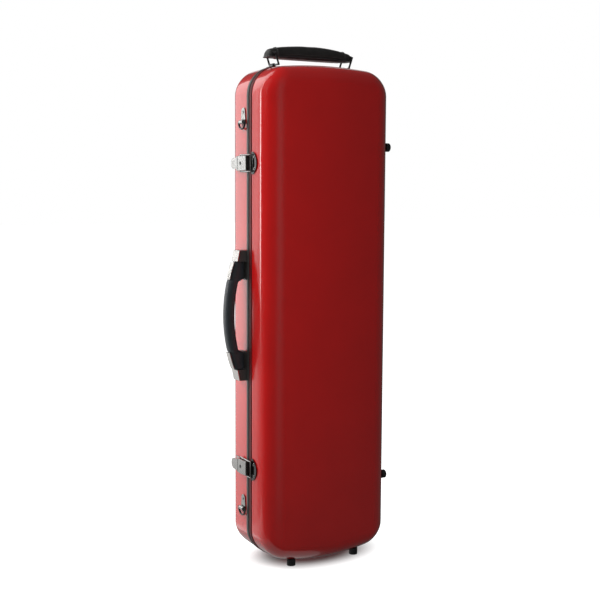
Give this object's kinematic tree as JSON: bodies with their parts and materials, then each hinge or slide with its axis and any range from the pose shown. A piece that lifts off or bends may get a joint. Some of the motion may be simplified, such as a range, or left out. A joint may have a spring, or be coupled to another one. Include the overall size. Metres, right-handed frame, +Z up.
{
  "type": "violin case",
  "caption": "Slim oblong hard case for a violin and bows, with a hinged lid, draw latches, side and end handles, and a fitted padded interior.",
  "frame": {"origin": "on the floor under the middle of the standing case's outer box, in the plane where lid and base meet", "axes": "+Z up along the case's length, +X towards the hinges, +Y towards the base's back, -Y towards the lid's front"},
  "size_m": [0.2599, 0.1401, 0.8117],
  "materials": {
    "shell": "high-gloss red lacquer",
    "rim": "satin dark grey edge",
    "lid_rim": "satin dark maroon edge",
    "gasket": "matt black rubber",
    "foot": "matt black rubber",
    "plated": "nickel plate",
    "dark_plated": "dark nickel plate",
    "black_wire": "black enamel",
    "grip": "satin black moulding",
    "mount": "satin black moulding",
    "leather": "grained black leather",
    "velvet": "dark grey plush"
  },
  "bodies": {
    "base": {"base_shell": "shell", "base_rim": "rim", "rim_gasket": "gasket", "base_end_feet": "foot", "base_side_feet": "foot", "base_foot_screws": "plated", "hinge_upper_base_leaf": "plated", "hinge_middle_base_leaf": "plated", "hinge_lower_base_leaf": "plated", "hinge_pins": "plated", "base_rivets": "plated", "latch_upper_plate": "plated", "latch_upper_pin": "plated", "latch_lower_plate": "plated", "latch_lower_pin": "plated", "side_mount_upper": "mount", "side_mount_lower": "mount", "side_mount_covers": "plated", "side_handle_pins": "plated", "end_bracket_left": "black_wire", "end_bracket_right": "black_wire", "strap_lug_upper": "plated", "strap_lug_lower": "plated", "foam_bed": "velvet", "neck_cradle": "velvet", "neck_strap": "leather"},
    "lid": {"lid_shell": "shell", "lid_rim": "lid_rim", "lid_end_feet": "foot", "lid_side_feet": "foot", "lid_foot_screws": "plated", "hinge_upper_lid_leaf": "plated", "hinge_middle_lid_leaf": "plated", "hinge_lower_lid_leaf": "plated", "lid_rivets": "plated", "latch_upper_catch": "dark_plated", "latch_lower_catch": "dark_plated", "lid_lining": "velvet", "bow_clip_seats": "mount", "bow_sleeves": "velvet"},
    "latch_lever_upper": {"latch_upper_lever": "plated"},
    "latch_lock_upper": {"latch_upper_lock": "plated"},
    "latch_bail_upper": {"latch_upper_bail": "plated"},
    "latch_lever_lower": {"latch_lower_lever": "plated"},
    "latch_lock_lower": {"latch_lower_lock": "plated"},
    "latch_bail_lower": {"latch_lower_bail": "plated"},
    "side_handle": {"side_grip": "grip", "side_grip_cap_upper": "plated", "side_grip_cap_lower": "plated"},
    "end_bail_left": {"end_bail_left": "black_wire"},
    "end_bail_right": {"end_bail_right": "black_wire"},
    "end_grip": {"end_pad": "leather", "end_strap": "leather"},
    "strap_ring_upper": {"strap_ring_upper": "black_wire"},
    "strap_ring_lower": {"strap_ring_lower": "black_wire"},
    "pocket_lid": {"pocket_lid": "velvet", "pocket_lid_tab": "leather"},
    "bow_clip_left": {"bow_clip_left": "mount"},
    "bow_clip_right": {"bow_clip_right": "mount"}
  },
  "joints": [
    {"name": "lid_hinge", "type": "hinge", "parent": "base", "child": "lid", "pos_m": [0.1272, 0, 0.391], "axis": [0, 0, 1], "range_deg": [0, 100]},
    {"name": "latch_upper_lever", "type": "hinge", "parent": "base", "child": "latch_lever_upper", "pos_m": [-0.101, 0.0005, 0.629], "axis": [0, 0, 1], "range_deg": [0, 80]},
    {"name": "latch_upper_bail", "type": "hinge", "parent": "latch_lever_upper", "child": "latch_bail_upper", "pos_m": [-0.0998, 0.025, 0.629], "axis": [0, 0, 1], "range_deg": [-100, 0]},
    {"name": "latch_upper_lock", "type": "hinge", "parent": "latch_lever_upper", "child": "latch_lock_upper", "pos_m": [-0.1046, 0.0155, 0.629], "axis": [-1, 0, 0], "range_deg": [0, 90]},
    {"name": "latch_lower_lever", "type": "hinge", "parent": "base", "child": "latch_lever_lower", "pos_m": [-0.101, 0.0005, 0.153], "axis": [0, 0, 1], "range_deg": [0, 80]},
    {"name": "latch_lower_bail", "type": "hinge", "parent": "latch_lever_lower", "child": "latch_bail_lower", "pos_m": [-0.0998, 0.025, 0.153], "axis": [0, 0, 1], "range_deg": [-100, 0]},
    {"name": "latch_lower_lock", "type": "hinge", "parent": "latch_lever_lower", "child": "latch_lock_lower", "pos_m": [-0.1046, 0.0155, 0.153], "axis": [-1, 0, 0], "range_deg": [0, 90]},
    {"name": "side_handle", "type": "hinge", "parent": "base", "child": "side_handle", "pos_m": [-0.1061, 0.02, 0.393], "axis": [0, 0, 1], "range_deg": [-60, 60]},
    {"name": "end_handle", "type": "hinge", "parent": "base", "child": "end_bail_left", "pos_m": [-0.0496, 0.009, 0.78001], "axis": [0, 1, 0], "range_deg": [-40, 40]},
    {"name": "end_bail_right", "type": "hinge", "parent": "base", "child": "end_bail_right", "pos_m": [0.0764, 0.009, 0.78001], "axis": [0, 1, 0], "range_deg": [-40, 40]},
    {"name": "end_grip", "type": "hinge", "parent": "end_bail_left", "child": "end_grip", "pos_m": [-0.05546, 0.009, 0.79703], "axis": [0, 1, 0], "range_deg": [-37, 37]},
    {"name": "strap_ring_upper", "type": "hinge", "parent": "base", "child": "strap_ring_upper", "pos_m": [-0.1, 0.0195, 0.692], "axis": [0, 1, 0], "range_deg": [0, 120]},
    {"name": "strap_ring_lower", "type": "hinge", "parent": "base", "child": "strap_ring_lower", "pos_m": [-0.1, 0.0195, 0.084], "axis": [0, 1, 0], "range_deg": [0, 120]},
    {"name": "pocket_lid", "type": "hinge", "parent": "base", "child": "pocket_lid", "pos_m": [-0.0829, 0.0093, 0.526], "axis": [0, 0, -1], "range_deg": [0, 85]},
    {"name": "bow_clip_left", "type": "hinge", "parent": "lid", "child": "bow_clip_left", "pos_m": [-0.0246, -0.05, 0.092], "axis": [0, 1, 0], "range_deg": [-90, 90]},
    {"name": "bow_clip_right", "type": "hinge", "parent": "lid", "child": "bow_clip_right", "pos_m": [0.0514, -0.05, 0.092], "axis": [0, 1, 0], "range_deg": [-90, 90]}
  ],
  "couplings": [
    {"joint": "latch_upper_bail", "follows": "latch_upper_lever", "ratio": -1.25},
    {"joint": "latch_lower_bail", "follows": "latch_lower_lever", "ratio": -1.25},
    {"joint": "end_bail_right", "follows": "end_handle", "ratio": 1},
    {"joint": "end_grip", "follows": "end_handle", "ratio": -0.921}
  ]
}
